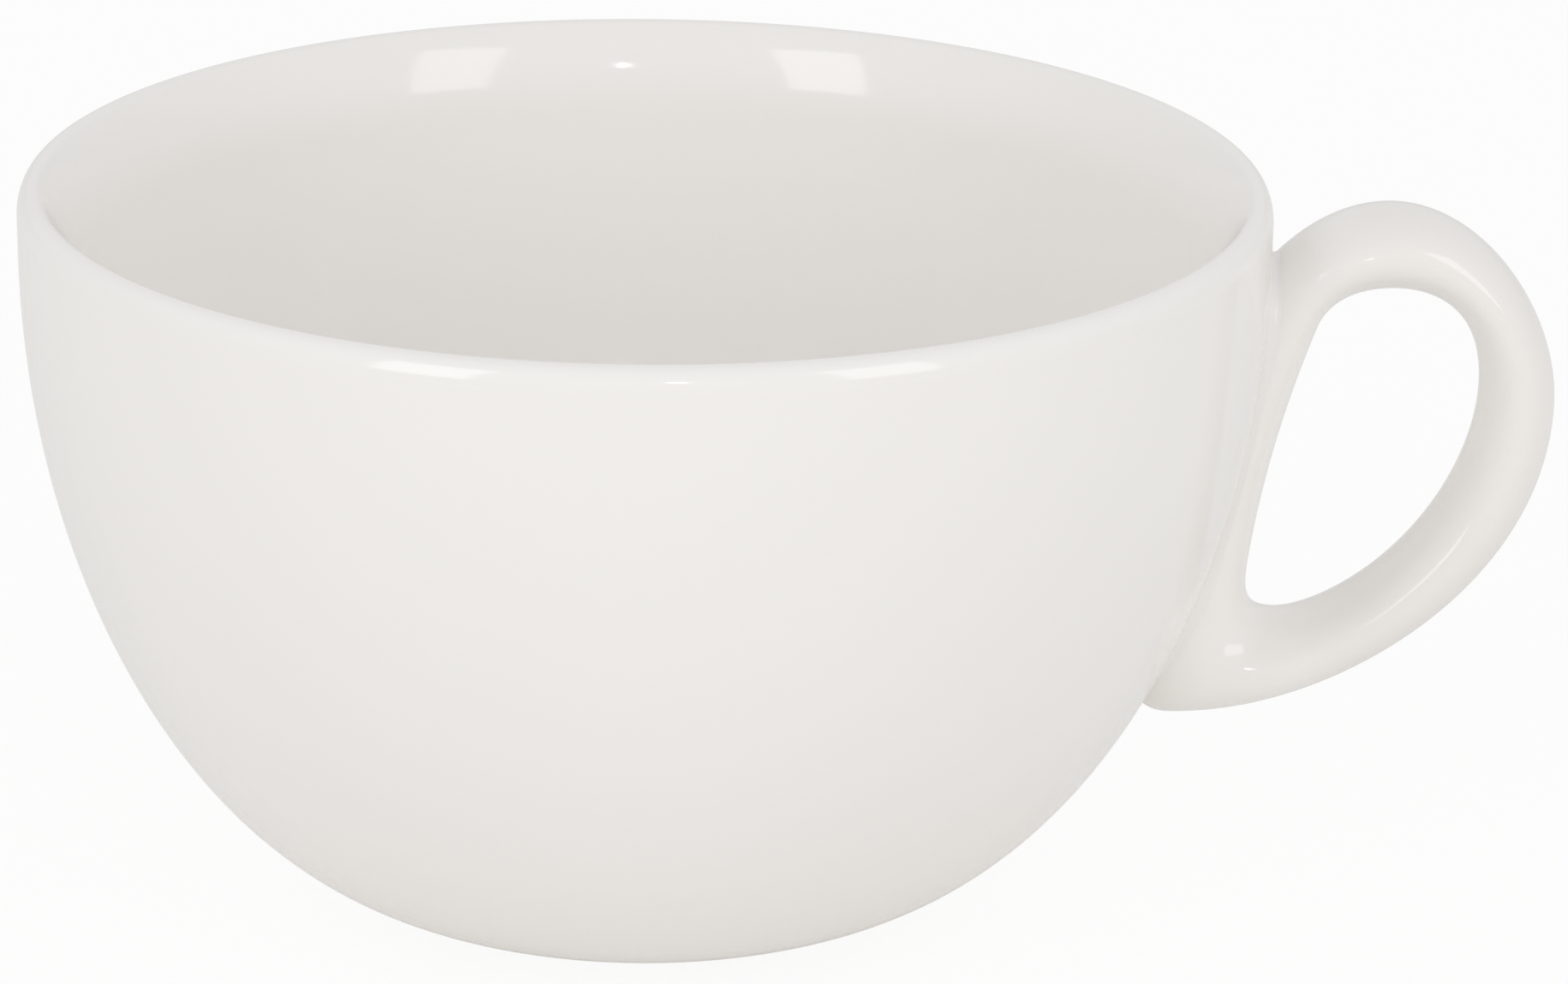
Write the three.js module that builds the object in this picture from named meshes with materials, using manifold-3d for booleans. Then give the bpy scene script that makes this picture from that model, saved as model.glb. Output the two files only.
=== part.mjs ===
// Breakfast cup of white glazed porcelain: a thrown bowl and a cast loop handle, luted together with slip.
// Millimetres, +Z up, standing on z = 0. The handle points along +X, and the cup is centred on the origin.
import * as THREE from 'three';
import { mergeVertices, toCreasedNormals } from 'three/addons/utils/BufferGeometryUtils.js';
import Module from 'manifold-3d';

const wasm = await Module();
wasm.setup();

// Bowl: the rim, the wall, the side's curve and the foot ring
const RIM_DIAMETER = 112;
const HEIGHT = 67.3;
const WALL = 4.6;
const LIP_ROUND = 1.8; // radius of the lip's edge
const LIP_FLARE = 10; // radius of the inside's outward curve, which thins the wall to the lip
const SIDE_PULL = 33.6; // how long the side holds to the upright as it curves in
const UNDER_PULL = 16.9; // how long it holds to the level as it reaches the foot
const FLOOR = 5;
const FOOT_DIAMETER = 42;
const FOOT_WIDTH = 2.6;
const FOOT_HEIGHT = 1.6;
const FOOT_EDGE = 0.6; // rounding of the foot ring's edges and corners

// Handle, seen from the side: "out" is measured from the rim's edge, and a height from the table
const CROWN_OUT = 11;
const CROWN_DROP = 1.75; // the crown's top lies this far below the rim
const CROWN_THICK = 7.35;
const BACK_OUT = 26.25;
const BACK_HEIGHT = 47.3;
const BACK_THICK = 6.8;
const BACK_RISE = 1.35; // the finger hole is widest this far above the back's farthest point
const TAIL_HEIGHT = 17.15;
const TAIL_STAND = 3.65; // the tail is lowest this far from the wall
const TAIL_THICK = 9.4;
const HOLE_FLOOR_STAND = 9.5; // the finger hole is lowest this far from the wall
const STRAP_LOW_RISE = 5.85; // lower end of the strap's edge, above the finger hole's floor
const STRAP_LOW_THICK = 3.95;
const STRAP_LOW_LEAN = 7.4; // degrees from the upright
const STRAP_HIGH_DROP = 3.7; // upper end of the strap's edge, below the finger hole's top
const STRAP_HIGH_THICK = 4.75;
const STRAP_HIGH_LEAN = 18.3;
const BURIED_DEPTH = 4.7; // the loop closes this deep inside the wall's outer face
const BURIED_RISE = 9.95; // and this far above the tail
const ROOT_WIDTH = 13;
const BACK_WIDTH = 11.5;

// Joint: a bed of slip between handle and wall, with a sponged fillet round it
const GAP = 0.3; // between touching pieces
const SLIP_BED = 0.6;
const FILLET_SIDE = 3.5;
const FILLET_END = 0.6;

// Steps of the surfaces
const ROUND_STEPS = 64;
const SIDE_STEPS = 15;
const EDGE_STEPS = 2;
const LIP_STEPS = 4; // on each side of the lip's top
const FLARE_STEPS = 3;
const LOOP_STEPS = 64;
const SECTION_STEPS = 20;
const JOINT_STEPS = 64;
const FILLET_STEPS = 5;

const RIM_RADIUS = RIM_DIAMETER / 2;
const FOOT_RADIUS = FOOT_DIAMETER / 2;

// The lip's edge and the flare are arcs that touch where their common normal has this angle to the level. The
// flare meets the inside at the height where the outside, upright below the lip, starts to curve in.
const LIP_TURN = Math.acos((LIP_FLARE + LIP_ROUND - WALL) / (LIP_FLARE - LIP_ROUND));
const BAND_TOP = HEIGHT - LIP_ROUND;
const BAND_FOOT = BAND_TOP - (LIP_FLARE - LIP_ROUND) * Math.sin(LIP_TURN);

// The side's curve in the plane of radius and height: upright under the band, level at the foot.
const side = new THREE.CubicBezierCurve(
  new THREE.Vector2(FOOT_RADIUS + FOOT_EDGE, FOOT_HEIGHT),
  new THREE.Vector2(FOOT_RADIUS + FOOT_EDGE + UNDER_PULL, FOOT_HEIGHT),
  new THREE.Vector2(RIM_RADIUS, BAND_FOOT - SIDE_PULL),
  new THREE.Vector2(RIM_RADIUS, BAND_FOOT),
);

// Outward normal of the side's curve at t.
function sideNormal(t) {
  const along = side.getTangent(t);
  return new THREE.Vector2(along.y, -along.x);
}

// Points of the side from the foot to the band, moved outward by offset(t).
function sidePoints(offset, steps = SIDE_STEPS) {
  return Array.from({ length: steps + 1 }, (_, i) => {
    const t = i / steps;
    return side.getPoint(t).addScaledVector(sideNormal(t), offset(t));
  });
}

// Points of an arc about (x, y) from one angle to another, in degrees.
function arcPoints(x, y, radius, from, to, steps) {
  return Array.from({ length: steps + 1 }, (_, i) => {
    const angle = THREE.MathUtils.degToRad(THREE.MathUtils.lerp(from, to, i / steps));
    return new THREE.Vector2(x + radius * Math.cos(angle), y + radius * Math.sin(angle));
  });
}

// A profile turned about the Z axis.
function turned(points) {
  return new THREE.LatheGeometry(points, ROUND_STEPS).rotateX(Math.PI / 2);
}

// The bowl: recessed underside, foot ring, side, lip, flare, inside and floor.
function bowlGeometry() {
  const ringInside = FOOT_RADIUS - FOOT_WIDTH;
  const wall = (t) => -THREE.MathUtils.lerp(FLOOR, WALL, THREE.MathUtils.smoothstep(t, 0, 1));
  const lipEnd = 180 - THREE.MathUtils.radToDeg(LIP_TURN);
  const edge = (x, y, from) => arcPoints(x, y, FOOT_EDGE, from, from + 90, EDGE_STEPS);
  const corner = (x, y, from) => arcPoints(x, y, FOOT_EDGE, from, from - 90, EDGE_STEPS);
  return turned([
    new THREE.Vector2(0, FOOT_HEIGHT),
    ...corner(ringInside - FOOT_EDGE, FOOT_HEIGHT - FOOT_EDGE, 90),
    ...edge(ringInside + FOOT_EDGE, FOOT_EDGE, 180),
    ...edge(FOOT_RADIUS - FOOT_EDGE, FOOT_EDGE, 270),
    ...corner(FOOT_RADIUS + FOOT_EDGE, FOOT_HEIGHT - FOOT_EDGE, 180).slice(0, -1),
    ...sidePoints(() => 0),
    ...arcPoints(RIM_RADIUS - LIP_ROUND, BAND_TOP, LIP_ROUND, 0, 90, LIP_STEPS),
    ...arcPoints(RIM_RADIUS - LIP_ROUND, BAND_TOP, LIP_ROUND, 90, lipEnd, LIP_STEPS).slice(1),
    ...arcPoints(RIM_RADIUS - WALL + LIP_FLARE, BAND_FOOT, LIP_FLARE, lipEnd, 180, FLARE_STEPS).slice(1, -1),
    ...sidePoints(wall).reverse(),
    new THREE.Vector2(0, FOOT_HEIGHT + FLOOR),
  ]);
}

// The filled shape of the bowl's outside, grown by a margin: what the joint is cut by.
function bowlEnvelope(margin) {
  return turned([
    new THREE.Vector2(0, FOOT_HEIGHT - margin),
    ...sidePoints(() => margin),
    new THREE.Vector2(RIM_RADIUS + margin, HEIGHT),
    new THREE.Vector2(0, HEIGHT),
  ]);
}

// The wall's outer radius at a height, by halving the side's curve.
function wallRadius(height) {
  let low = 0;
  let high = 1;
  for (let i = 0; i < 40; i += 1) {
    const t = (low + high) / 2;
    if (side.getPoint(t).y < height) low = t;
    else high = t;
  }
  return side.getPoint(low).x;
}

// A knot of an outline in the side view: its place and the way the outline passes it, in degrees from +X.
function knot(x, height, way) {
  const angle = THREE.MathUtils.degToRad(way);
  return {
    at: new THREE.Vector2(x, height),
    way: new THREE.Vector2(Math.cos(angle), Math.sin(angle)),
  };
}

// The stretch of outline between two knots: a cubic whose pulls are shares of the chord.
function stretch(from, to, pullFrom, pullTo) {
  const chord = from.at.distanceTo(to.at);
  return new THREE.CubicBezierCurve(
    from.at,
    from.at.clone().addScaledVector(from.way, pullFrom * chord),
    to.at.clone().addScaledVector(to.way, -pullTo * chord),
    to.at,
  );
}

// One of the four sides of an outline, from its stretches.
function outlineSide(...stretches) {
  const path = new THREE.CurvePath();
  stretches.forEach((piece) => path.add(piece));
  return path;
}

// The finger hole's outline and the loop's outer outline, each as strap, crown, back and tail.
function handleOutlines() {
  const crownTop = HEIGHT - CROWN_DROP;
  const holeTop = crownTop - CROWN_THICK;
  const holeFloor = TAIL_HEIGHT + TAIL_THICK;
  const lowHeight = holeFloor + STRAP_LOW_RISE;
  const highHeight = holeTop - STRAP_HIGH_DROP;
  const buriedHeight = TAIL_HEIGHT + BURIED_RISE;

  const strapLow = knot(wallRadius(lowHeight) + STRAP_LOW_THICK, lowHeight, 90 - STRAP_LOW_LEAN);
  const strapHigh = knot(wallRadius(highHeight) + STRAP_HIGH_THICK, highHeight, 90 - STRAP_HIGH_LEAN);
  const holeCrown = knot(RIM_RADIUS + CROWN_OUT, holeTop, 0);
  const holeBack = knot(RIM_RADIUS + BACK_OUT - BACK_THICK, BACK_HEIGHT + BACK_RISE, -90);
  const holeTail = knot(wallRadius(holeFloor) + HOLE_FLOOR_STAND, holeFloor, 180);
  const hole = [
    outlineSide(
      stretch(strapLow, strapHigh, 0.35, 0.35),
      stretch(strapHigh, holeCrown, 0.39, 0.39),
    ),
    outlineSide(stretch(holeCrown, holeBack, 0.45, 0.43)),
    outlineSide(stretch(holeBack, holeTail, 0.38, 0.25)),
    outlineSide(stretch(holeTail, strapLow, 0.54, 0.56)),
  ];

  const buried = knot(wallRadius(buriedHeight) - BURIED_DEPTH, buriedHeight, 90);
  const crown = knot(RIM_RADIUS + CROWN_OUT, crownTop, 0);
  const back = knot(RIM_RADIUS + BACK_OUT, BACK_HEIGHT, -90);
  const tail = knot(wallRadius(TAIL_HEIGHT) + TAIL_STAND, TAIL_HEIGHT, 180);
  const outer = [
    outlineSide(stretch(buried, crown, 0.39, 0.28)),
    outlineSide(stretch(crown, back, 0.34, 0.36)),
    outlineSide(stretch(back, tail, 0.38, 0.35)),
    outlineSide(stretch(tail, buried, 0.39, 0.39)),
  ];
  return { hole, outer };
}

const { hole, outer } = handleOutlines();

// A point of the loop's surface: u runs once round the loop from the strap's foot, angle once round the section.
// The section is an ellipse between the two outlines, with its outer end at angle 0, grown by a margin.
function loopPoint(u, angle, margin = 0) {
  const turn = THREE.MathUtils.euclideanModulo(u, 1) * hole.length;
  const index = Math.floor(turn);
  const inside = hole[index].getPoint(turn - index);
  const outside = outer[index].getPoint(turn - index);
  const middle = inside.clone().lerp(outside, 0.5);
  const half = outside.sub(middle);
  half.setLength(half.length() + margin);
  const reach = THREE.MathUtils.smoothstep(middle.x, RIM_RADIUS, RIM_RADIUS + BACK_OUT - BACK_THICK);
  const halfWidth = THREE.MathUtils.lerp(ROOT_WIDTH, BACK_WIDTH, reach) / 2 + margin;
  const across = Math.cos(angle);
  return new THREE.Vector3(
    middle.x + half.x * across,
    halfWidth * Math.sin(angle),
    middle.y + half.y * across,
  );
}

// Outward normal of the loop's surface, from two short steps along it.
function loopNormal(u, angle) {
  const step = 1e-4;
  const across = loopPoint(u, angle + step).sub(loopPoint(u, angle - step));
  const along = loopPoint(u + step, angle).sub(loopPoint(u - step, angle));
  return along.cross(across).normalize();
}

// A surface through rows of points, closed along the rows and across them.
function closedLoft(rows) {
  const count = rows[0].length;
  const index = [];
  rows.forEach((_, i) => {
    const next = (i + 1) % rows.length;
    for (let j = 0; j < count; j += 1) {
      const k = (j + 1) % count;
      index.push(i * count + j, next * count + j, i * count + k);
      index.push(next * count + j, next * count + k, i * count + k);
    }
  });
  return new THREE.BufferGeometry().setFromPoints(rows.flat()).setIndex(index);
}

// The whole loop, with its strap still inside the wall.
function loopGeometry(margin) {
  const rows = Array.from({ length: LOOP_STEPS }, (_, i) =>
    Array.from({ length: SECTION_STEPS }, (_, j) =>
      loopPoint(i / LOOP_STEPS, (2 * Math.PI * j) / SECTION_STEPS, margin),
    ),
  );
  return closedLoft(rows);
}

const wallSamples = sidePoints(() => 0, 400).map((at, i, all) => ({
  at,
  normal: sideNormal(i / (all.length - 1)),
}));

// The wall nearest to a point: how far the point lies outside it, and the wall's normal there.
function nearestWall(point) {
  const at = new THREE.Vector2(Math.hypot(point.x, point.y), point.z);
  const nearest = wallSamples.reduce((a, b) =>
    at.distanceToSquared(b.at) < at.distanceToSquared(a.at) ? b : a,
  );
  const normal = new THREE.Vector3(
    (nearest.normal.x * point.x) / at.x,
    (nearest.normal.x * point.y) / at.x,
    nearest.normal.y,
  );
  return { distance: at.clone().sub(nearest.at).dot(nearest.normal), normal };
}

// The part of the loop inside the wall: its middle, and a reach from there past both its ends, in turns of the loop.
const SEAT_MIDDLE = 0.03;
const SEAT_REACH = 0.3;

// A ball rolls round the joint and touches both the wall and the loop: the fillet's section where it is
// found in one direction from the seat's middle, turn 0 being the upper end and pi the lower.
function filletSection(turn) {
  const radius = THREE.MathUtils.lerp(FILLET_END, FILLET_SIDE, Math.sin(turn) ** 4);
  const place = (share) => [
    SEAT_MIDDLE + share * SEAT_REACH * Math.cos(turn),
    share * Math.PI * Math.sin(turn),
  ];
  const ball = (share) => loopPoint(...place(share)).addScaledVector(loopNormal(...place(share)), radius);
  let low = 0;
  let high = 1;
  for (let i = 0; i < 24; i += 1) {
    const share = (low + high) / 2;
    if (nearestWall(ball(share)).distance < radius) low = share;
    else high = share;
  }
  const centre = ball(high);
  const toWall = nearestWall(centre).normal.negate();
  const toLoop = loopNormal(...place(high)).negate();
  const angle = toWall.angleTo(toLoop);
  const arc = Array.from({ length: FILLET_STEPS + 1 }, (_, i) => {
    const share = i / FILLET_STEPS;
    return toLoop
      .clone()
      .multiplyScalar(Math.sin((1 - share) * angle))
      .addScaledVector(toWall, Math.sin(share * angle))
      .multiplyScalar(radius / Math.sin(angle))
      .add(centre);
  });
  const depth = GAP + SLIP_BED;
  const root = toWall.clone().add(toLoop);
  return [
    centre.clone().addScaledVector(root, (radius + depth) / (1 + toWall.dot(toLoop))),
    arc[0].clone().addScaledVector(toLoop, depth),
    ...arc,
    arc[FILLET_STEPS].clone().addScaledVector(toWall, depth),
  ];
}

// The fillet's bead all round the joint, reaching into wall and loop so that both can cut it.
function filletGeometry() {
  const rows = Array.from({ length: JOINT_STEPS }, (_, i) =>
    filletSection((2 * Math.PI * i) / JOINT_STEPS),
  );
  return closedLoft(rows);
}

// A closed geometry as a solid that can be joined and cut.
function solid(geometry) {
  const bare = new THREE.BufferGeometry().setIndex(geometry.index);
  bare.setAttribute('position', geometry.getAttribute('position'));
  const merged = mergeVertices(bare);
  return new wasm.Manifold(
    new wasm.Mesh({
      numProp: 3,
      vertProperties: merged.getAttribute('position').array,
      triVerts: new Uint32Array(merged.index.array),
    }),
  );
}

// A solid as a geometry with smooth faces and sharp edges.
function geometryOf(made) {
  const { vertProperties, triVerts } = made.getMesh();
  const geometry = new THREE.BufferGeometry().setIndex(new THREE.BufferAttribute(triVerts, 1));
  geometry.setAttribute('position', new THREE.BufferAttribute(vertProperties, 3));
  return toCreasedNormals(geometry, THREE.MathUtils.degToRad(35));
}

const loop = solid(loopGeometry(0));

// The handle: the loop, hollowed at the back to the bowl's curve, clear of the slip.
const handle = loop.subtract(solid(bowlEnvelope(2 * GAP + SLIP_BED)));

// The slip: its bed behind the strap and its fillet, clear of the wall and of the handle.
const slip = loop
  .add(solid(filletGeometry()))
  .subtract(solid(bowlEnvelope(GAP)))
  .subtract(solid(loopGeometry(GAP)).subtract(solid(bowlEnvelope(GAP + SLIP_BED))));

// A named piece, placed so that the cup with its handle is centred on the origin.
function piece(name, geometry, color, roughness) {
  const material = new THREE.MeshStandardMaterial({ color, roughness, metalness: 0 });
  const mesh = new THREE.Mesh(geometry, material);
  mesh.name = name;
  mesh.position.x = -BACK_OUT / 2;
  return mesh;
}

const cup = new THREE.Group();
cup.name = 'breakfast_cup';
cup.add(
  piece('bowl', bowlGeometry(), '#ece9e5', 0.12),
  piece('handle', geometryOf(handle), '#e9e7e3', 0.12),
  piece('luting_slip', geometryOf(slip), '#e6e3df', 0.16),
);

export default cup;
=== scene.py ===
import bpy
import numpy as np
from mathutils import Matrix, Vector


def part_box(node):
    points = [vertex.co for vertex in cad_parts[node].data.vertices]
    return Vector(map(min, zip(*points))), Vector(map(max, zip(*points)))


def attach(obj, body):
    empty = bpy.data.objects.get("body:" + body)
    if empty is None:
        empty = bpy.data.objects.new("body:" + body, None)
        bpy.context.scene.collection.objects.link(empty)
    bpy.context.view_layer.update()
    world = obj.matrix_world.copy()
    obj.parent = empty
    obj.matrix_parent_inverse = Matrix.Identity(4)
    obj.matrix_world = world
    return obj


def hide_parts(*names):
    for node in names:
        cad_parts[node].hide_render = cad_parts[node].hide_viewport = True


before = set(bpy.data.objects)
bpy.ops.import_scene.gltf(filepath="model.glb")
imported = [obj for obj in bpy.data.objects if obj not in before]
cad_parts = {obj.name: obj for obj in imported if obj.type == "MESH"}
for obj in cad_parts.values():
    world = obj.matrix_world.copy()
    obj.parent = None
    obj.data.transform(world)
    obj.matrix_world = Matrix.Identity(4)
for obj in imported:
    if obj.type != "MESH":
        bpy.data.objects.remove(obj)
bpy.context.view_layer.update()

# Bowl: the cup's body, one lump of porcelain clay formed on a wheel between a plaster mould and a template.
# Its wall thins to a lip that is rolled off on the outside, and a low foot ring is turned underneath. It is
# dipped in clear glaze, and the ring's standing face is wiped bare so it doesn't stick to the kiln shelf.
MM = 0.001
bowl_low, bowl_high = (np.array(corner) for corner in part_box("bowl"))
axis_x = (bowl_low[0] + bowl_high[0]) / 2
rim_radius = (bowl_high[0] - bowl_low[0]) / 2
cup_height = bowl_high[2]
wall = 4.6 * MM
floor_thickness = 5.0 * MM
lip_out = 1.45 * MM  # the lip's outer roll reaches this far in from the rim
lip_drop = 2.4 * MM  # and this far down
lip_in = 0.8 * MM  # radius of the lip's inner edge
lip_flare = 15.0 * MM  # radius of the inside's outward curve below it
band_height = 5.7242 * MM  # the side's curve ends upright this far below the rim
side_pull = 33.6 * MM  # how long the side holds to the upright as it curves in
under_pull = 16.9 * MM  # how long it holds to the level as it reaches the foot
foot_radius = 21.0 * MM
foot_width = 2.6 * MM
foot_height = 1.6 * MM
foot_edge = 0.6 * MM  # rounding of the foot ring's edges and corners
lip_turn = np.arccos((lip_flare + lip_out - wall) / (lip_flare - lip_in))
lip_middle = np.array([rim_radius - lip_out, cup_height - lip_in])
flare_middle = lip_middle + (lip_flare - lip_in) * np.array([np.cos(lip_turn), -np.sin(lip_turn)])
band_foot = cup_height - band_height
glaze_cloud = 38.0 * MM
glaze_run = 11.0 * MM
glaze_ripple = 0.03 * MM
grit_size = 0.5 * MM
grit_depth = 0.05 * MM
mark_size = 4.0 * MM
turn_steps = 240
side_steps = 110
sharp_edge = 40  # degrees between faces


def arc(centre, radius, start, end, steps):
    """Points of a circle's arc: the centre plus the radius at equal steps of angle, in degrees."""
    angle = np.radians(np.linspace(start, end, steps + 1))
    return np.array(centre) + radius * np.stack([np.cos(angle), np.sin(angle)], axis=-1)


def cubic(corners, t):
    """A cubic Bezier curve: its four control points weighted by the Bernstein polynomials of t."""
    t = np.asarray(t)[:, None]
    a, b, c, d = np.array(corners)
    return (1 - t) ** 3 * a + 3 * (1 - t) ** 2 * t * b + 3 * (1 - t) * t ** 2 * c + t ** 3 * d


def side_curve(t):
    """The outer side in radius and height, level at the foot and upright at the band, with its outward
    normals: the curve's direction, from points a short step apart, turned clockwise by a right angle."""
    foot = np.array([foot_radius + foot_edge, foot_height])
    band = np.array([rim_radius, band_foot])
    corners = [foot, foot + [under_pull, 0], band - [0, side_pull], band]
    step = 1e-4
    along = cubic(corners, t + step) - cubic(corners, t - step)
    along /= np.linalg.norm(along, axis=-1, keepdims=True)
    return cubic(corners, t), np.stack([along[:, 1], -along[:, 0]], axis=-1)


def bowl_profile():
    """Half of the bowl's section, from the middle of the underside to the middle of the floor inside: arcs
    for the foot ring, a quarter of an ellipse for the lip's outer roll, arcs for its inner edge and flare,
    and the side's curve outside and, one wall further in, inside. The flare also thins the side's top."""
    t = np.linspace(0, 1, side_steps + 1)
    outside, normal = side_curve(t)
    thickness = floor_thickness + (wall - floor_thickness) * t ** 2 * (3 - 2 * t)
    above = np.maximum(outside[:, 1] - flare_middle[1], 0)
    thickness -= lip_flare - np.sqrt(lip_flare ** 2 - above ** 2)
    inside = outside - normal * thickness[:, None]
    ring_inside = foot_radius - foot_width
    root = foot_height - foot_edge
    lip_end = 180 - np.degrees(lip_turn)
    flare_end = 180 - np.degrees(np.arcsin((band_foot - flare_middle[1]) / lip_flare))
    roll = arc([0, 0], 1, 0, 90, 16) * [lip_out, lip_drop] + [lip_middle[0], cup_height - lip_drop]
    underside = np.linspace([0, foot_height], [ring_inside - foot_edge, foot_height], 12)
    floor = np.linspace(inside[0], [0, foot_height + floor_thickness], 14)
    parts = [
        underside[:-1],
        arc([ring_inside - foot_edge, root], foot_edge, 90, 0, 6),
        arc([ring_inside + foot_edge, foot_edge], foot_edge, 180, 270, 6),
        arc([foot_radius - foot_edge, foot_edge], foot_edge, 270, 360, 6),
        arc([foot_radius + foot_edge, root], foot_edge, 180, 90, 6)[:-1],
        outside,
        roll,
        arc(lip_middle, lip_in, 90, lip_end, 8)[1:],
        arc(flare_middle, lip_flare, lip_end, flare_end, 16)[1:-1],
        inside[::-1],
        floor[1:],
    ]
    return np.concatenate(parts)


def closed_rows(first, rows, columns, wrap):
    """Four-sided faces between neighbouring rows of a grid whose columns close into rings. Row i starts at
    first + i times the columns, and with wrap the last row joins the first."""
    i = np.arange(rows if wrap else rows - 1)[:, None]
    j = np.arange(columns)[None, :]
    across = (j + 1) % columns
    here = first + i * columns
    there = first + (i + 1) % rows * columns
    return np.stack([here + j, here + across, there + across, there + j], axis=-1).reshape(-1, 4)


def add_piece(name, points, faces):
    """A smooth mesh object at the origin, with its place in its points."""
    mesh = bpy.data.meshes.new(name)
    mesh.from_pydata(points.reshape(-1, 3).tolist(), [], faces)
    mesh.shade_smooth()
    mesh.set_sharp_from_angle(angle=np.radians(sharp_edge))
    made = bpy.data.objects.new(name, mesh)
    bpy.context.scene.collection.objects.link(made)
    return made


def turned(profile):
    """A profile turned about the cup's axis: each radius at equal steps of a full turn. The profile's two
    ends lie on the axis, where fans of triangles close it."""
    angle = np.linspace(0, 2 * np.pi, turn_steps, endpoint=False)
    radius = profile[1:-1, 0, None]
    height = profile[1:-1, 1, None] + 0 * angle
    rings = np.stack([axis_x + radius * np.cos(angle), radius * np.sin(angle), height], axis=-1)
    ends = np.array([[axis_x, 0, profile[0, 1]], [axis_x, 0, profile[-1, 1]]])
    points = np.concatenate([ends, rings.reshape(-1, 3)])
    j = np.arange(turn_steps)
    across = (j + 1) % turn_steps
    last = 2 + (len(rings) - 1) * turn_steps
    under = np.stack([0 * j, 2 + across, 2 + j], axis=-1)
    top = np.stack([0 * j + 1, last + j, last + across], axis=-1)
    sides = closed_rows(2, len(rings), turn_steps, False)
    return points, under.tolist() + top.tolist() + sides.tolist()


def linear(hex_colour):
    """An sRGB hex colour as linear red, green, blue and alpha."""
    value = np.array([int(hex_colour[i:i + 2], 16) for i in (1, 3, 5)]) / 255
    value = np.where(value <= 0.04045, value / 12.92, ((value + 0.055) / 1.055) ** 2.4)
    return (*value.tolist(), 1.0)


def add_node(tree, kind, inputs, **settings):
    """One node with its settings. An input is a value for its socket, or the socket that feeds it."""
    made = tree.nodes.new(kind)
    for name, value in settings.items():
        setattr(made, name, value)
    for name, value in inputs.items():
        if isinstance(value, bpy.types.NodeSocket):
            tree.links.new(value, made.inputs[name])
        else:
            made.inputs[name].default_value = value
    return made


def new_material(name):
    """An empty node material, with its node tree and its Object coordinates."""
    made = bpy.data.materials.new(name)
    made.use_nodes = True
    made.node_tree.nodes.clear()
    place = add_node(made.node_tree, "ShaderNodeTexCoord", {}).outputs["Object"]
    return made, made.node_tree, place


def clear_glaze(tree, place, body):
    """A clear glaze over a body's colour, dipped and fired glossy. The eye sees a wet-looking gloss whose
    reflections waver a little where the glaze ran."""
    patch = add_node(tree, "ShaderNodeTexNoise", {"Vector": place, "Scale": 1 / glaze_cloud, "Detail": 2.0})
    run = add_node(tree, "ShaderNodeTexNoise", {"Vector": place, "Scale": 1 / glaze_run, "Detail": 1.0})
    ripple = add_node(tree, "ShaderNodeBump", {
        "Height": run.outputs["Fac"],
        "Strength": 1.0,
        "Distance": glaze_ripple,
    })
    gloss = add_node(tree, "ShaderNodeMapRange", {
        "Value": patch.outputs["Fac"],
        "To Min": 0.07,
        "To Max": 0.11,
    })
    skin = add_node(tree, "ShaderNodeBsdfPrincipled", {
        "Base Color": body,
        "Roughness": gloss.outputs["Result"],
        "IOR": 1.5,
        "Normal": ripple.outputs["Normal"],
    })
    add_node(tree, "ShaderNodeOutputMaterial", {"Surface": skin.outputs["BSDF"]})


def clouded(tree, place, pale, deep):
    """A body colour between two near whites, in soft clouds where the glaze over it is thinner or thicker."""
    cloud = add_node(tree, "ShaderNodeTexNoise", {"Vector": place, "Scale": 1 / glaze_cloud, "Detail": 2.0})
    body = add_node(tree, "ShaderNodeMix", {
        "Factor": cloud.outputs["Fac"],
        "A": linear(pale),
        "B": linear(deep),
    }, data_type="RGBA")
    return body.outputs["Result"]


def thrown_porcelain():
    """Hard white porcelain, formed on the wheel and glazed clear. The eye sees a faintly warm, glossy
    white."""
    made, tree, place = new_material("glazed_thrown_porcelain")
    clear_glaze(tree, place, clouded(tree, place, "#f8f6f4", "#f6f4f1"))
    return made


def bare_porcelain():
    """Fired porcelain without glaze, ground smooth on the foot ring. The eye sees a chalky, slightly warmer
    white with fine grit and grey marks from the tables it has stood on."""
    made, tree, place = new_material("unglazed_porcelain")
    grit = add_node(tree, "ShaderNodeTexNoise", {"Vector": place, "Scale": 1 / grit_size, "Detail": 3.0})
    mark = add_node(tree, "ShaderNodeTexNoise", {"Vector": place, "Scale": 1 / mark_size, "Detail": 4.0})
    worn = add_node(tree, "ShaderNodeMapRange", {
        "Value": mark.outputs["Fac"],
        "From Min": 0.45,
        "From Max": 0.75,
    })
    body = add_node(tree, "ShaderNodeMix", {
        "Factor": worn.outputs["Result"],
        "A": linear("#e6dfd5"),
        "B": linear("#cfc8be"),
    }, data_type="RGBA")
    grain = add_node(tree, "ShaderNodeBump", {
        "Height": grit.outputs["Fac"],
        "Strength": 0.6,
        "Distance": grit_depth,
    })
    skin = add_node(tree, "ShaderNodeBsdfPrincipled", {
        "Base Color": body.outputs["Result"],
        "Roughness": 0.75,
        "IOR": 1.5,
        "Normal": grain.outputs["Normal"],
    })
    add_node(tree, "ShaderNodeOutputMaterial", {"Surface": skin.outputs["BSDF"]})
    return made


bowl = add_piece("cup_bowl", *turned(bowl_profile()))
thrown_glaze = thrown_porcelain()
bowl.data.materials.append(thrown_glaze)
bowl.data.materials.append(bare_porcelain())
face_middles = np.empty(3 * len(bowl.data.polygons))
bowl.data.polygons.foreach_get("center", face_middles)
bare_below = 0.25 * foot_edge
face_is_bare = face_middles[2::3] < bare_below
bowl.data.polygons.foreach_set("material_index", face_is_bare.astype(np.int32))
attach(bowl, "root")
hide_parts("bowl")

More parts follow.
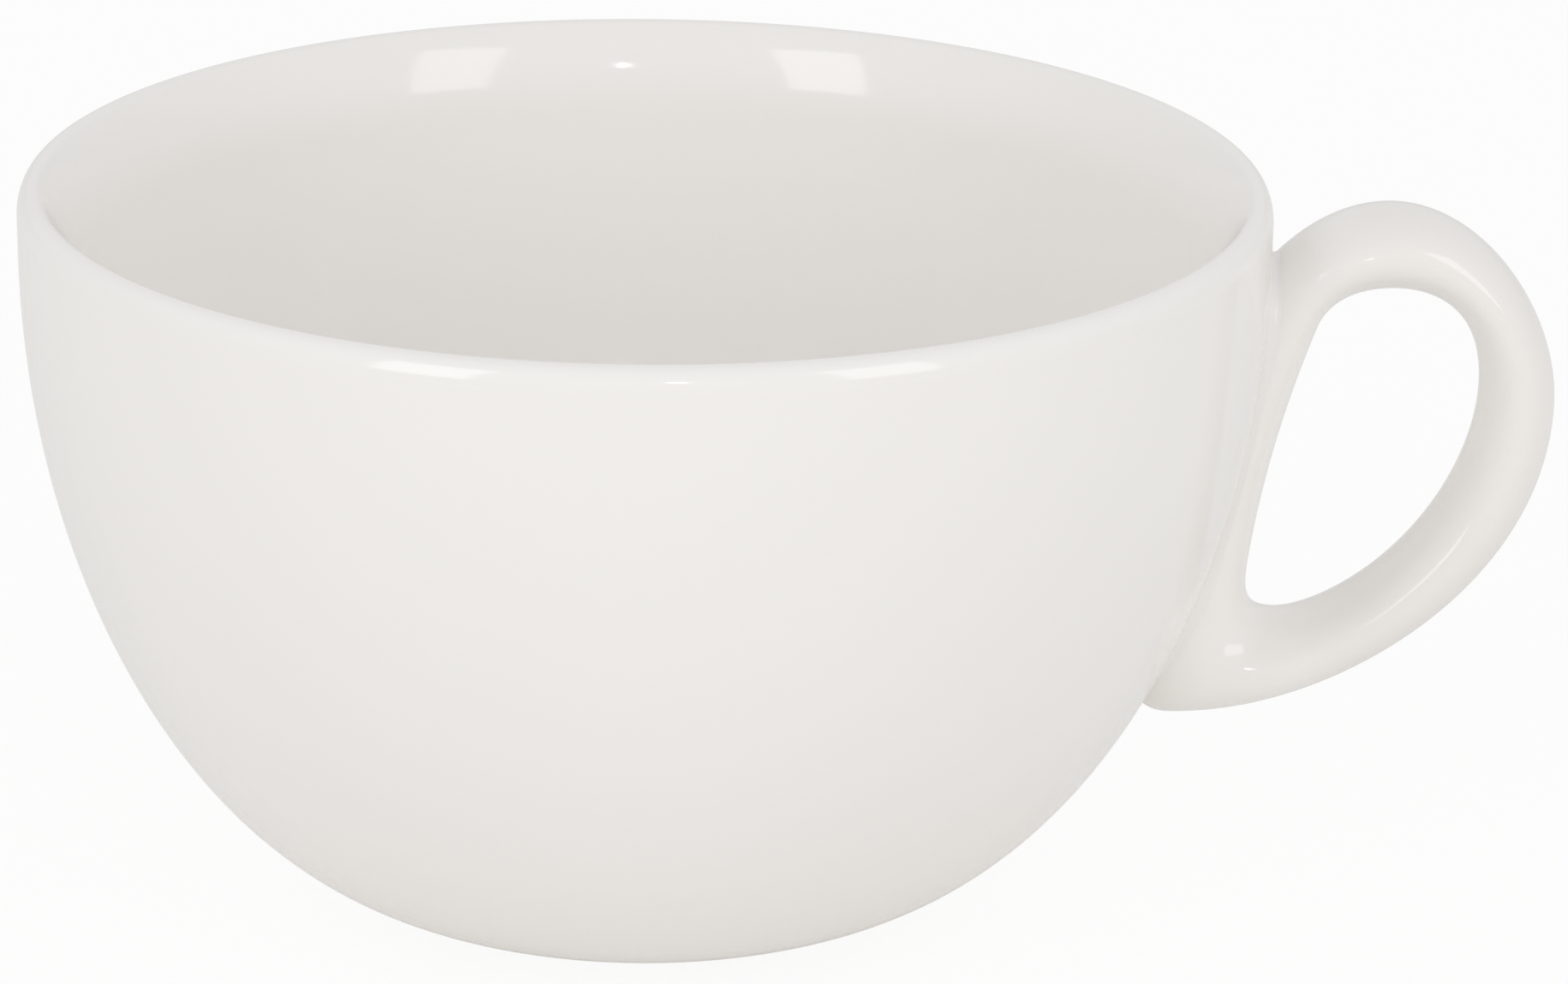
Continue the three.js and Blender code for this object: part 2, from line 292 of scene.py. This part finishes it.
# Handle: a solid loop of the same porcelain, cast in a two-part mould and fettled round at its seam. Its back
# strap is cut to the bowl's curve and stuck on with slip while both are leather-hard, and the two are glazed
# together.
handle_low, handle_high = (np.array(corner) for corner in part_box("handle"))
rim_x = axis_x + rim_radius
back_x = handle_high[0]
crown_top = handle_high[2]
tail_height = handle_low[2]
crown_out = 11.0 * MM
crown_thick = 7.35 * MM
back_height = 47.3 * MM
back_thick = 6.8 * MM
back_rise = 1.35 * MM  # the finger hole is widest this far above the back's farthest point
tail_stand = 3.65 * MM  # the tail is lowest this far from the wall
tail_thick = 9.4 * MM
hole_floor_stand = 9.5 * MM  # the finger hole is lowest this far from the wall
strap_low_rise = 5.85 * MM  # lower end of the strap's edge, above the hole's floor
strap_low_thick = 3.95 * MM
strap_low_lean = 7.4  # degrees from the upright
strap_high_drop = 3.7 * MM  # upper end of the strap's edge, below the hole's top
strap_high_thick = 4.75 * MM
strap_high_lean = 18.3
buried_depth = 4.7 * MM  # the outer outline closes this deep inside the wall's outer face
buried_rise = 9.95 * MM  # and this far above the tail
root_width = 13.0 * MM
back_width = 11.5 * MM
seat_depth = 0.4 * MM  # the strap's back lies at most this deep in the wall
painted_light_reach = 10.0 * MM  # painted light: the paler white starts this far past the rim
painted_light_full = 2.0 * MM  # and is full this far past it
loop_steps = 360
section_steps = 96
outline_steps = 400
wall_line, wall_normal = side_curve(np.linspace(0, 1, 500))


def wall_x(height):
    """Where the bowl's outer side lies at a height, in the handle's plane."""
    return axis_x + np.interp(height, wall_line[:, 1], wall_line[:, 0])


def stretch(start, end, pull_start, pull_end):
    """A cubic between two knots, each a place in the handle's plane and a heading in degrees from +X. The two
    inner control points lie along the headings, by these shares of the chord."""
    places = np.array([start[:2], end[:2]])
    heading = np.radians([start[2], end[2]])
    way = np.stack([np.cos(heading), np.sin(heading)], axis=-1)
    chord = np.linalg.norm(places[1] - places[0])
    leaving = places[0] + pull_start * chord * way[0]
    arriving = places[1] - pull_end * chord * way[1]
    return cubic([places[0], leaving, arriving, places[1]], np.linspace(0, 1, outline_steps))


def outline(*sides):
    """A closed outline from its four sides: each side's points set at equal distances along it, so that two
    outlines keep step with each other, side by side."""
    evened = []
    for side in sides:
        line = np.concatenate(side)
        gone = np.concatenate([[0], np.cumsum(np.linalg.norm(np.diff(line, axis=0), axis=-1))])
        place = np.linspace(0, gone[-1], outline_steps, endpoint=False)
        evened.append(np.stack([np.interp(place, gone, line[:, k]) for k in (0, 1)], axis=-1))
    return np.concatenate(evened)


hole_top = crown_top - crown_thick
hole_floor = tail_height + tail_thick
low_height = hole_floor + strap_low_rise
high_height = hole_top - strap_high_drop
buried_height = tail_height + buried_rise
strap_low = (wall_x(low_height) + strap_low_thick, low_height, 90 - strap_low_lean)
strap_high = (wall_x(high_height) + strap_high_thick, high_height, 90 - strap_high_lean)
hole_crown = (rim_x + crown_out, hole_top, 0)
hole_back = (back_x - back_thick, back_height + back_rise, -90)
hole_tail = (wall_x(hole_floor) + hole_floor_stand, hole_floor, 180)
hole_outline = outline(
    [stretch(strap_low, strap_high, 0.35, 0.35), stretch(strap_high, hole_crown, 0.39, 0.39)],
    [stretch(hole_crown, hole_back, 0.45, 0.43)],
    [stretch(hole_back, hole_tail, 0.38, 0.25)],
    [stretch(hole_tail, strap_low, 0.54, 0.56)],
)
buried = (wall_x(buried_height) - buried_depth, buried_height, 90)
crown = (rim_x + crown_out, crown_top, 0)
back = (back_x, back_height, -90)
tail = (wall_x(tail_height) + tail_stand, tail_height, 180)
outer_outline = outline(
    [stretch(buried, crown, 0.39, 0.28)],
    [stretch(crown, back, 0.34, 0.36)],
    [stretch(back, tail, 0.38, 0.35)],
    [stretch(tail, buried, 0.39, 0.39)],
)


def loop_point(u, angle):
    """The loop's surface: u runs once round it from the strap's foot, and angle once round its section. The
    section is an ellipse between the hole's outline and the outer one, with its outer end at angle 0."""
    share = np.arange(len(hole_outline)) / len(hole_outline)

    def at(line):
        """An outline's points at the shares u."""
        return np.stack([np.interp(u, share, line[:, k], period=1) for k in (0, 1)], axis=-1)

    middle = (at(hole_outline) + at(outer_outline)) / 2
    half = at(outer_outline) - middle
    reach = np.clip((middle[..., 0] - rim_x) / (back_x - back_thick - rim_x), 0, 1)
    width = root_width + (back_width - root_width) * reach ** 2 * (3 - 2 * reach)
    place = middle + half * np.cos(angle)[..., None]
    return np.stack([place[..., 0], width / 2 * np.sin(angle), place[..., 1]], axis=-1)


def from_wall(points):
    """How far points lie outside the bowl's outer side, and the side's normals there: each point's radius and
    height against the nearest point of the side's curve, found between its steps by the share of a step that
    the point lies further along."""
    radius = np.hypot(points[..., 0] - axis_x, points[..., 1])
    flat = np.stack([radius, points[..., 2]], axis=-1)
    nearest = np.argmin(((flat[..., None, :] - wall_line) ** 2).sum(axis=-1), axis=-1)
    number = np.arange(len(wall_line))
    step = np.gradient(wall_line, axis=0)[nearest]
    place = nearest + ((flat - wall_line[nearest]) * step).sum(axis=-1) / (step ** 2).sum(axis=-1)
    foot = np.stack([np.interp(place, number, wall_line[:, k]) for k in (0, 1)], axis=-1)
    normal = np.stack([np.interp(place, number, wall_normal[:, k]) for k in (0, 1)], axis=-1)
    distance = ((flat - foot) * normal).sum(axis=-1)
    outward = np.stack([points[..., 0] - axis_x, points[..., 1]], axis=-1) / radius[..., None]
    return distance, np.concatenate([outward * normal[..., :1], normal[..., 1:]], axis=-1)


def cast_porcelain_painted_shade_and_light():
    """Porcelain cast in a plaster mould and glazed clear. The eye sees the bowl's gloss on a white with
    painted shade, a touch deeper than the bowl's, and with painted light that turns it paler towards the
    wall, where the joint with the bowl is in shade."""
    made, tree, place = new_material("glazed_cast_porcelain")
    along = add_node(tree, "ShaderNodeSeparateXYZ", {"Vector": place}).outputs["X"]
    # painted light: the white turns paler towards the wall, lifting the shade in the joint between strap and
    # bowl
    painted_light = add_node(tree, "ShaderNodeMapRange", {
        "Value": along,
        "From Min": rim_x + painted_light_reach,
        "From Max": rim_x + painted_light_full,
    }, interpolation_type="SMOOTHSTEP")
    body = add_node(tree, "ShaderNodeMix", {
        "Factor": painted_light.outputs["Result"],
        # painted shade: the same porcelain as the bowl, in a slightly deeper white, for the lesser light on
        # the handle
        "A": clouded(tree, place, "#f5f2ef", "#f3f0ec"),
        "B": linear("#faf8f5"),
    }, data_type="RGBA")
    clear_glaze(tree, place, body.outputs["Result"])
    return made


loop_u, loop_angle = np.meshgrid(
    np.arange(loop_steps) / loop_steps,
    2 * np.pi * np.arange(section_steps) / section_steps,
    indexing="ij",
)
loop = loop_point(loop_u, loop_angle)
wall_gap, wall_way = from_wall(loop)
loop += wall_way * np.maximum(-seat_depth - wall_gap, 0)[..., None]
loop_faces = closed_rows(0, loop_steps, section_steps, True)[:, ::-1]
handle = add_piece("cup_handle", loop, loop_faces.tolist())
handle.data.materials.append(cast_porcelain_painted_shade_and_light())
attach(handle, "root")
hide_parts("handle")

# Luting slip: liquid clay that glues the handle's strap to the wall, squeezed out along the joint and sponged
# to a small hollow fillet all round it. It is fired and glazed with the rest, so it looks like the same clay.
fillet_side = 3.5 * MM
fillet_end = 0.6 * MM
fillet_sink = 0.02 * MM  # the arc dips this far under wall and loop
seat_middle = 0.03  # the seat's middle, as a share of the way round the loop
seat_reach = 0.3  # the joint is looked for this far to both sides of it
joint_steps = 320
fillet_steps = 12
halvings = 30


def loop_normal(u, angle):
    """Outward normal of the loop's surface: the cross product of two short steps along it."""
    step = 2e-3
    across = loop_point(u, angle + step) - loop_point(u, angle - step)
    along = loop_point(u + step, angle) - loop_point(u - step, angle)
    normal = np.cross(along, across)
    return normal / np.linalg.norm(normal, axis=-1, keepdims=True)


def fillet_rows():
    """A ball rolled round the joint so that it touches both wall and loop. For each direction from the
    seat's middle the place on the loop is found by halving, and the section is the ball's arc between its two
    contacts, closed by three points inside the clay. The arc dips a hair under both faces, so that it meets
    them in a clean line."""
    turn = np.linspace(0, 2 * np.pi, joint_steps, endpoint=False)
    radius = fillet_end + (fillet_side - fillet_end) * np.sin(turn) ** 4
    low = np.zeros(joint_steps)
    high = np.ones(joint_steps)

    def ball(share):
        """The ball's centre and the loop's normal, at a share of the way from the seat's middle."""
        place = (seat_middle + share * seat_reach * np.cos(turn), share * np.pi * np.sin(turn))
        out = loop_normal(*place)
        return loop_point(*place) + out * radius[:, None], out

    for _ in range(halvings):
        share = (low + high) / 2
        inside = from_wall(ball(share)[0])[0] < radius
        low = np.where(inside, share, low)
        high = np.where(inside, high, share)
    centre, out = ball(high)
    to_loop = -out
    to_wall = -from_wall(centre)[1]
    bend = np.arccos((to_loop * to_wall).sum(axis=-1))[:, None, None]
    share = np.linspace(0, 1, fillet_steps + 1)[None, :, None]
    spoke = to_loop[:, None] * np.sin((1 - share) * bend) + to_wall[:, None] * np.sin(share * bend)
    curve = centre[:, None] + (radius + fillet_sink)[:, None, None] * spoke / np.sin(bend)
    root = to_loop + to_wall
    deep = centre + root * ((radius + seat_depth) / (1 + (to_loop * to_wall).sum(axis=-1)))[:, None]
    under_loop = curve[:, 0] + to_loop * seat_depth
    under_wall = curve[:, -1] + to_wall * seat_depth
    return np.concatenate([deep[:, None], under_loop[:, None], curve, under_wall[:, None]], axis=1)


fillet = fillet_rows()
fillet_faces = closed_rows(0, *fillet.shape[:2], True)[:, ::-1]
slip = add_piece("luting_fillet", fillet, fillet_faces.tolist())
slip.data.materials.append(thrown_glaze)
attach(slip, "root")
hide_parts("luting_slip")

# Floor: a matt white board under the cup, the start of a studio's white sweep. It lies a hair below the foot
# ring, so that the two faces don't fight.
floor_reach = 3.0
floor_drop = 0.05 * MM
board_cloud = 60.0 * MM
shadow_share = 0.08  # how much of the board's own shading the camera sees
mirror_share = 0.27  # how much of what the camera sees is in mirror-like reflections


def seen_directly(tree):
    """1 for rays from the camera and see-through ones, a share of that for mirror-like ones, and 0 for the
    light that scatters."""
    path = add_node(tree, "ShaderNodeLightPath", {})
    mirrored = add_node(tree, "ShaderNodeMath", {
        0: path.outputs["Is Glossy Ray"],
        1: mirror_share,
    }, operation="MULTIPLY")
    either = add_node(tree, "ShaderNodeMath", {
        0: path.outputs["Is Camera Ray"],
        1: mirrored.outputs["Value"],
    }, operation="MAXIMUM")
    every = add_node(tree, "ShaderNodeMath", {
        0: either.outputs["Value"],
        1: path.outputs["Is Transmission Ray"],
    }, operation="MAXIMUM")
    return every.outputs["Value"]


def white_board():
    """A matt white sweep. The camera sees it close to white, with a part of the cup's soft shadow, and it
    lights the cup from below as a matt white board does."""
    made, tree, place = new_material("matt_white_board")
    cloud = add_node(tree, "ShaderNodeTexNoise", {"Vector": place, "Scale": 1 / board_cloud, "Detail": 2.0})
    tone = add_node(tree, "ShaderNodeMix", {
        "Factor": cloud.outputs["Fac"],
        "A": linear("#f4f3f1"),
        "B": linear("#f2f1ef"),
    }, data_type="RGBA")
    board = add_node(tree, "ShaderNodeBsdfDiffuse", {"Color": tone.outputs["Result"]})
    white = add_node(tree, "ShaderNodeEmission", {"Color": linear("#ffffff"), "Strength": 1.0})
    shown = add_node(tree, "ShaderNodeMixShader", {
        "Fac": shadow_share,
        1: white.outputs["Emission"],
        2: board.outputs["BSDF"],
    })
    final = add_node(tree, "ShaderNodeMixShader", {
        "Fac": seen_directly(tree),
        1: board.outputs["BSDF"],
        2: shown.outputs["Shader"],
    })
    add_node(tree, "ShaderNodeOutputMaterial", {"Surface": final.outputs["Shader"]})
    return made


floor_corners = floor_reach * np.array([[-1, -1], [1, -1], [1, 1], [-1, 1]])
floor = add_piece("table", np.column_stack([floor_corners, np.full(4, -floor_drop)]), [[0, 1, 2, 3]])
floor.data.materials.append(white_board())

# Light: a white room all round, brightest in a band a little above the table and dimmer overhead, two tall
# softboxes in front, left and right of the camera, and a small lamp beside the camera. Their reflections show
# on the lip, on the far wall inside and on the handle.
room_level = 0.848
room_band = 0.39  # sine of the bright band's height
room_fall = 1.0
lamp_distance = 0.8
lamp_rise = 24  # degrees above the middle of the cup
# Each lamp's bearing in degrees from the front, width and height in metres, and power in watts.
lamps = {
    "softbox_left": (-37, 0.24, 0.44, 0.77),
    "softbox_right": (44, 0.24, 0.44, 0.64),
    "lamp_by_camera": (7, 0.03, 0.04, 0.07),
}


def white_room():
    """A plain white world. With z the sine of a direction's height, its strength is the level less the fall
    times the square of z's distance from the bright band."""
    made = bpy.data.worlds.new("white_room")
    made.use_nodes = True
    tree = made.node_tree
    tree.nodes.clear()
    way = add_node(tree, "ShaderNodeTexCoord", {}).outputs["Generated"]
    sine = add_node(tree, "ShaderNodeSeparateXYZ", {"Vector": way}).outputs["Z"]
    off = add_node(tree, "ShaderNodeMath", {0: sine, 1: room_band}, operation="SUBTRACT").outputs["Value"]
    square = add_node(tree, "ShaderNodeMath", {0: off, 1: off}, operation="MULTIPLY").outputs["Value"]
    level = add_node(tree, "ShaderNodeMath", {
        0: square,
        1: -room_fall,
        2: room_level,
    }, operation="MULTIPLY_ADD").outputs["Value"]
    room = add_node(tree, "ShaderNodeBackground", {"Color": linear("#ffffff"), "Strength": level})
    add_node(tree, "ShaderNodeOutputWorld", {"Surface": room.outputs["Background"]})
    return made


bpy.context.scene.world = white_room()


def aimed(obj, place, target, roll=0.0):
    """Set an object at a place so that its -Z axis looks at a target, its X axis level and then rolled."""
    back = np.array(place) - np.array(target)
    back /= np.linalg.norm(back)
    right = np.cross([0, 0, 1], back)
    right /= np.linalg.norm(right)
    up = np.cross(back, right)
    side = np.cos(roll) * right + np.sin(roll) * up
    rise = np.cos(roll) * up - np.sin(roll) * right
    matrix = np.eye(4)
    matrix[:3] = np.column_stack([side, rise, back, place])
    obj.matrix_world = Matrix(matrix.tolist())


middle_of_cup = np.array([axis_x, 0, cup_height / 2])
for name, (bearing, wide, tall, power) in lamps.items():
    lamp = bpy.data.lights.new(name, "AREA")
    lamp.shape = "RECTANGLE"
    lamp.size = wide
    lamp.size_y = tall
    lamp.energy = power
    holder = bpy.data.objects.new(name, lamp)
    bpy.context.scene.collection.objects.link(holder)
    round_cup, up_from_table = np.radians([bearing, lamp_rise])
    level_way = np.array([np.sin(round_cup), -np.cos(round_cup), 0])
    lamp_way = np.cos(up_from_table) * level_way + [0, 0, np.sin(up_from_table)]
    aimed(holder, middle_of_cup + lamp_distance * lamp_way, middle_of_cup)

# Camera: a long lens looking down on the cup by about 19 degrees, from the side that has the handle on the
# right.
camera_distance = 0.52
camera_rise = 19.44
camera_roll = 0.88
camera_target = np.array([-0.453, 0, 37.39]) * MM
sensor_width = 36.0
focal_length = 130.92
camera_data = bpy.data.cameras.new("camera")
camera_data.sensor_fit = "HORIZONTAL"
camera_data.sensor_width = sensor_width
camera_data.lens = focal_length
camera = bpy.data.objects.new("camera", camera_data)
bpy.context.scene.collection.objects.link(camera)
camera_tilt = np.radians(camera_rise)
camera_way = np.array([0, -np.cos(camera_tilt), np.sin(camera_tilt)])
camera_place = camera_target + camera_distance * camera_way
aimed(camera, camera_place, camera_target, np.radians(camera_roll))
bpy.context.scene.camera = camera
bpy.context.scene.view_settings.view_transform = "Standard"
bpy.context.scene.cycles.diffuse_bounces = 12
